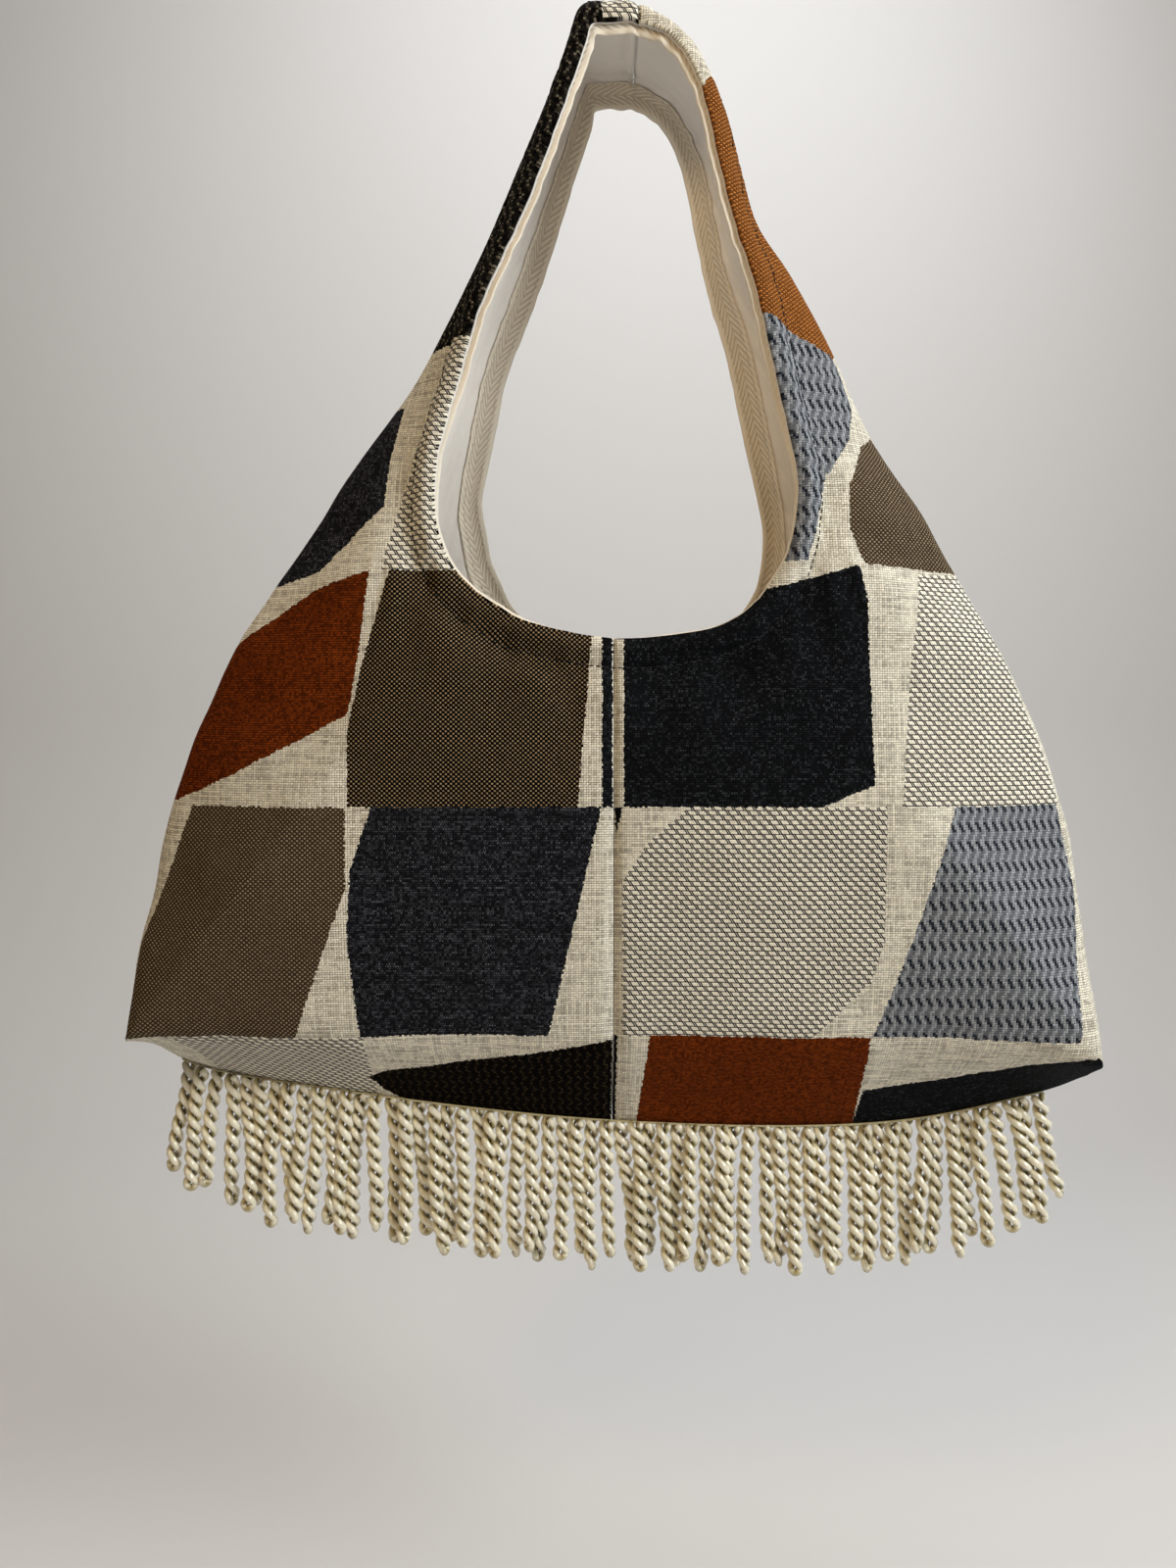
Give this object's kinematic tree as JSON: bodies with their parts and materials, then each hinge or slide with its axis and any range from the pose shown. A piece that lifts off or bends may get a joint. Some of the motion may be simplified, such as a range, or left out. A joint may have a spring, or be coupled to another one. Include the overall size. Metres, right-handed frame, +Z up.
{
  "type": "tapestry bag",
  "caption": "Slouchy fabric shoulder bag with a deep scooped mouth, a strap cut in one with the body, a cotton lining and a twisted bullion fringe along the bottom seam.",
  "frame": {"origin": "under the top of the strap, where a hook or a shoulder carries the bag", "axes": "+Z up, +X to the right seen from the front, +Y from the front to the back"},
  "size_m": [0.4344, 0.0962, 0.5722],
  "materials": {
    "tapestry_cloth": "matte woven jacquard",
    "lining_cotton": "matte plain cotton",
    "twill_tape": "matte herringbone twill",
    "fringe_cord": "silky twisted cord"
  },
  "bodies": {
    "root": {"front_panel_left": "tapestry_cloth", "front_panel_right": "tapestry_cloth", "back_panel_left": "tapestry_cloth", "back_panel_right": "tapestry_cloth", "lining_left": "lining_cotton", "lining_right": "lining_cotton", "edge_tape_front": "twill_tape", "edge_tape_back": "twill_tape", "fringe": "fringe_cord"}
  },
  "joints": []
}
